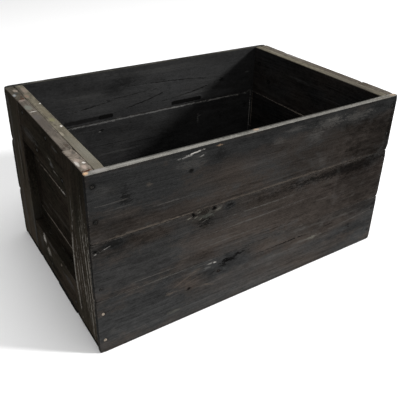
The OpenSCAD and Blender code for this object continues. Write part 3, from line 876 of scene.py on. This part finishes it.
floor_count = 4
floor_seed = 71
floor_luck = 70
floor_heads = driven_nails("left_floor_nails", Z, -1) + driven_nails("right_floor_nails", Z, -1)
for number in range(floor_count):
    name = f"floor_board_{number + 1}"
    luck = random.Random(floor_luck + number)
    low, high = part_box(name)
    centre = ((low.y + high.y) / 2 - crate_corner.y) / MM
    heads = heads_on(name, floor_heads, Z)
    floor_board = board_mesh(name, X, Z, floor_seed + number, heads=heads)
    scuffs = [(luck.uniform(60, 510), centre + luck.uniform(-30, 30),
               luck.uniform(20, 70), luck.uniform(1, 5),
               luck.choice((scuff_grey, pit_and_shade_black)), luck.uniform(0.2, 0.5)) for scuff in range(4)]
    heart = (luck.uniform(-40, 40), luck.uniform(-70, -30))
    tilt = luck.uniform(0.015, 0.04)
    knot = (luck.uniform(80, 480), centre + luck.uniform(-25, 25), luck.uniform(4, 8))
    finish = stained_wood(name, X, Z, floor_seed + number, heart, tilt=tilt, light=0.95, marks=scuffs,
                          knots=[knot])
    fit_board(floor_board, name, finish)

# Nails: plain round wire nails with flat heads, driven just below the wood. The heads have
# been hammered, and the stain ran over most of them.

nail_steps = 20
nail_groups = {
    "front_nails": (Y, -1), "back_nails": (Y, 1),
    "left_panel_nails": (X, 1), "right_panel_nails": (X, -1),
    "left_rail_nails": (X, -1), "right_rail_nails": (X, 1),
    "left_floor_nails": (Z, -1), "right_floor_nails": (Z, -1),
}
head_profile = [(0.0, 0.0), (1.1, 0.03), (1.9, 0.11), (2.3, 0.24),
                (2.5, 0.45), (2.42, 0.80), (2.0, 0.98), (1.3, 1.05)]
neck_depth = 1.4
shank_radius = 1.3
point_length = 5.2


def nail_steel(name, dark, bright, from_share):
    """Dull steel between two colours in patches, more of the bright one when from_share is low"""
    steel = bpy.data.materials.new(name)
    steel.use_nodes = True
    nodes = steel.node_tree.nodes
    links = steel.node_tree.links
    shader = nodes["Principled BSDF"]
    patches = nodes.new("ShaderNodeTexNoise")
    patches.inputs["Scale"].default_value = 700.0
    ramp = nodes.new("ShaderNodeValToRGB")
    stops = ((from_share, dark), (from_share + 0.3, bright))
    for element, (position, colour) in zip(ramp.color_ramp.elements, stops):
        element.position = position
        element.color = (*colour, 1)
    bump = nodes.new("ShaderNodeBump")
    bump.inputs["Strength"].default_value = 0.5
    bump.inputs["Distance"].default_value = 0.0002
    links.new(nodes.new("ShaderNodeTexCoord").outputs["Object"], patches.inputs["Vector"])
    links.new(patches.outputs[0], ramp.inputs[0])
    links.new(ramp.outputs[0], shader.inputs["Base Color"])
    links.new(patches.outputs[0], bump.inputs["Height"])
    links.new(bump.outputs[0], shader.inputs["Normal"])
    shader.inputs["Metallic"].default_value = 0.2
    shader.inputs["Specular IOR Level"].default_value = 0.05
    shader.inputs["Roughness"].default_value = 0.6
    return steel


stained_steel = nail_steel("stained_steel", (0.003, 0.0029, 0.0027), (0.028, 0.026, 0.023), 0.45)
rubbed_steel = nail_steel("rubbed_steel", (0.07, 0.060, 0.046), (0.24, 0.20, 0.16), 0.35)

# The nails whose stain has rubbed off: the lowest ones at the front's left end, and one in
# the left end's bottom rail
rubbed_up_to = 90 * MM
rubbed_rail_nail = Vector((0, 157, 57)) * MM
rubbed_reach = 8 * MM


def wire_nail(group, head, axis, outwards, length):
    """Adds one nail, its head's top at the given place and its point driven in"""
    shank = [(shank_radius, neck_depth), (shank_radius, length - point_length), (0.0, length)]
    outline = head_profile + shank
    verts = [group.verts.new((radius * MM, 0, -depth * MM)) for radius, depth in outline]
    edges = [group.edges.new(pair) for pair in zip(verts, verts[1:])]
    bmesh.ops.spin(group, geom=verts + edges, axis=(0, 0, 1), cent=(0, 0, 0), dvec=(0, 0, 0),
                   angle=2 * math.pi, steps=nail_steps, use_merge=True, use_duplicate=False)
    made = [v for v in group.verts if not v.tag]
    bmesh.ops.remove_doubles(group, verts=made, dist=0.01 * MM)
    made = [v for v in group.verts if not v.tag]
    facing = Vector([outwards if a == axis else 0 for a in (X, Y, Z)])
    turn = Vector((0, 0, 1)).rotation_difference(facing).to_matrix().to_4x4()
    bmesh.ops.transform(group, matrix=Matrix.Translation(head) @ turn, verts=made)
    for vert in made:
        vert.tag = True


for name, (axis, outwards) in nail_groups.items():
    group = bmesh.new()
    for head, length in driven_nails(name, axis, outwards, lengths=True):
        wire_nail(group, head, axis, outwards, length)
    bmesh.ops.recalc_face_normals(group, faces=group.faces)
    for face in group.faces:
        face.smooth = True
    mesh = bpy.data.meshes.new(name)
    group.to_mesh(mesh)
    group.free()
    nails = bpy.data.objects.new("driven_" + name, mesh)
    bpy.context.scene.collection.objects.link(nails)
    mesh.materials.append(stained_steel)
    mesh.materials.append(rubbed_steel)
    for face in mesh.polygons:
        corner_gap = face.center - crate_corner
        low_left = name == "front_nails" and face.center.x < 0 and face.center.z < rubbed_up_to
        in_rail = name == "left_rail_nails" and (corner_gap - rubbed_rail_nail).yz.length < rubbed_reach
        face.material_index = 1 if low_left or in_rail else 0
    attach(nails, "root")
    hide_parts(name)

# Studio: a wide pale floor under the crate, an even pale sky, a lamp from the right and
# front that throws the right end's soft shadow on the back side, and a wide lamp overhead.

floor_half = 9.0
floor_mesh = bmesh.new()
bmesh.ops.create_grid(floor_mesh, x_segments=6, y_segments=6, size=floor_half)
ground = bpy.data.meshes.new("studio_floor")
floor_mesh.to_mesh(ground)
floor_mesh.free()
studio_floor = bpy.data.objects.new("studio_floor", ground)
bpy.context.scene.collection.objects.link(studio_floor)
pale = bpy.data.materials.new("pale_floor")
pale.use_nodes = True
pale_shader = pale.node_tree.nodes["Principled BSDF"]
pale_shader.inputs["Base Color"].default_value = (0.86, 0.86, 0.86, 1)
pale_shader.inputs["Roughness"].default_value = 0.9
pale_shader.inputs["Specular IOR Level"].default_value = 0.1
ground.materials.append(pale)

sky = bpy.data.worlds.new("studio_sky")
bpy.context.scene.world = sky
sky.use_nodes = True
sky.node_tree.nodes["Background"].inputs["Color"].default_value = (1, 1, 1, 1)
sky.node_tree.nodes["Background"].inputs["Strength"].default_value = 0.45


def lamp(name, towards, distance, width, power, target=(0, 0, 0.15)):
    """Soft disc lamp whose light travels in the given direction"""
    light = bpy.data.lights.new(name, "AREA")
    light.shape = "DISK"
    light.size = width
    light.energy = power
    holder = bpy.data.objects.new(name, light)
    bpy.context.scene.collection.objects.link(holder)
    aim = Vector(towards).normalized()
    holder.rotation_euler = aim.to_track_quat("-Z", "Y").to_euler()
    holder.location = Vector(target) - aim * distance


lamp("key_lamp", (-0.72, 0.54, -0.43), 8.0, 1.12, 1070)
lamp("top_lamp", (0.05, 0.1, -1.0), 2.2, 1.6, 34)

# Camera: in front of the crate's left corner and above it, as the photograph was taken, with
# the lens and the shift that bring the crate's corners to their places there.

azimuth = math.radians(-33.08)
elevation = math.radians(28.34)
roll = math.radians(1.29)
camera_place = Vector((-475.0, -730.3, 613.7)) * MM
view = bpy.data.cameras.new("photo_camera")
view.sensor_width = 36.0
view.lens = 48.08
view.shift_x = 0.002
view.shift_y = -0.074
view.clip_start = 0.05
camera = bpy.data.objects.new("photo_camera", view)
bpy.context.scene.collection.objects.link(camera)
turned = (Matrix.Rotation(azimuth, 4, "Z") @ Matrix.Rotation(math.pi / 2 - elevation, 4, "X") @
          Matrix.Rotation(roll, 4, "Z"))
camera.matrix_world = Matrix.Translation(camera_place) @ turned
bpy.context.scene.camera = camera
bpy.context.scene.view_settings.view_transform = "Standard"
